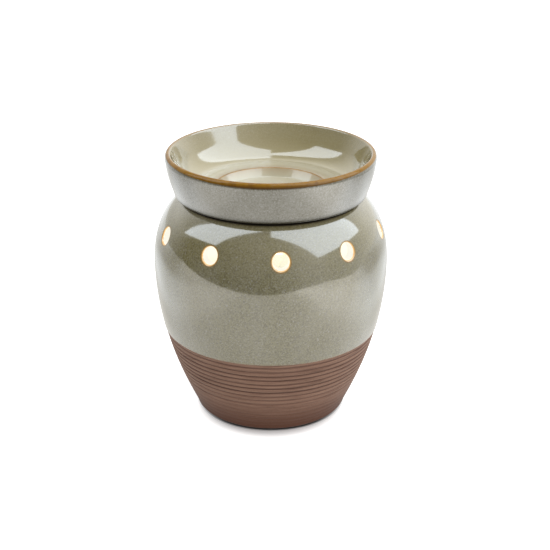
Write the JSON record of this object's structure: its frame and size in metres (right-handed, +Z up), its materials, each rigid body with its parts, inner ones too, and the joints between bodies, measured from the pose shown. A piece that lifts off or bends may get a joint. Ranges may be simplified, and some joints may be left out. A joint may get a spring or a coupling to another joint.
{
  "type": "wax warmer pot",
  "caption": "Lamp-heated scented-wax warmer: a bellied glazed stoneware jar with a ring of light ports, a lift-off wax dish and a screw-in lamp in a lampholder inside.",
  "frame": {"origin": "on the table under the centre of the jar", "axes": "+Z up along the jar's axis, front towards -Y, cord outlet towards +Y"},
  "size_m": [0.1314, 0.1314, 0.151],
  "materials": {
    "glaze": "glossy speckled olive-grey glaze over bare brown clay at the foot",
    "dish_glaze": "glossy speckled grey glaze, amber where it breaks at the edges",
    "porcelain": "white glazed porcelain",
    "steel": "zinc-plated steel",
    "cover_paint": "black painted steel sheet",
    "rubber": "black rubber",
    "brass": "bare brass",
    "lamp_glass": "clear glass",
    "cap_nickel": "nickel-plated sheet",
    "insulator": "black vitrified glass",
    "filament": "lit tungsten"
  },
  "bodies": {
    "pot": {"jar_body": "glaze", "foot_pads": "rubber", "base_cover": "cover_paint", "cover_screws": "steel", "cover_bracket": "steel", "cord_bushing": "rubber", "nipple": "steel", "lower_gasket": "rubber", "lock_washer": "steel", "nipple_nut": "brass", "upper_gasket": "rubber", "lampholder_dome": "porcelain", "lampholder_insert": "porcelain", "lampholder_barrel": "porcelain", "screw_shell": "brass", "centre_contact": "brass", "contact_rivets": "brass", "terminal_plates": "brass", "terminal_screws": "steel"},
    "dish": {"wax_dish": "dish_glaze"},
    "lamp_tip": {"bulb_tip": "brass"},
    "lamp": {"bulb_glass": "lamp_glass", "bulb_cap": "cap_nickel", "cap_insulator": "insulator", "glass_stem": "lamp_glass", "lead_wires": "steel", "filament": "filament"}
  },
  "joints": [
    {"name": "dish_lift", "type": "slide", "parent": "pot", "child": "dish", "axis": [0, 0, 1], "range_m": [0, 0.08]},
    {"name": "lamp_rise", "type": "slide", "parent": "pot", "child": "lamp_tip", "axis": [0, 0, 1], "range_m": [0, 0.0085]},
    {"name": "lamp_turn", "type": "hinge", "parent": "lamp_tip", "child": "lamp", "pos_m": [0, 0, 0.05], "axis": [0, 0, 1], "range_deg": [0, 1080]}
  ],
  "couplings": [
    {"joint": "lamp_rise", "follows": "lamp_turn", "m_per_rad": 0.00044882}
  ]
}
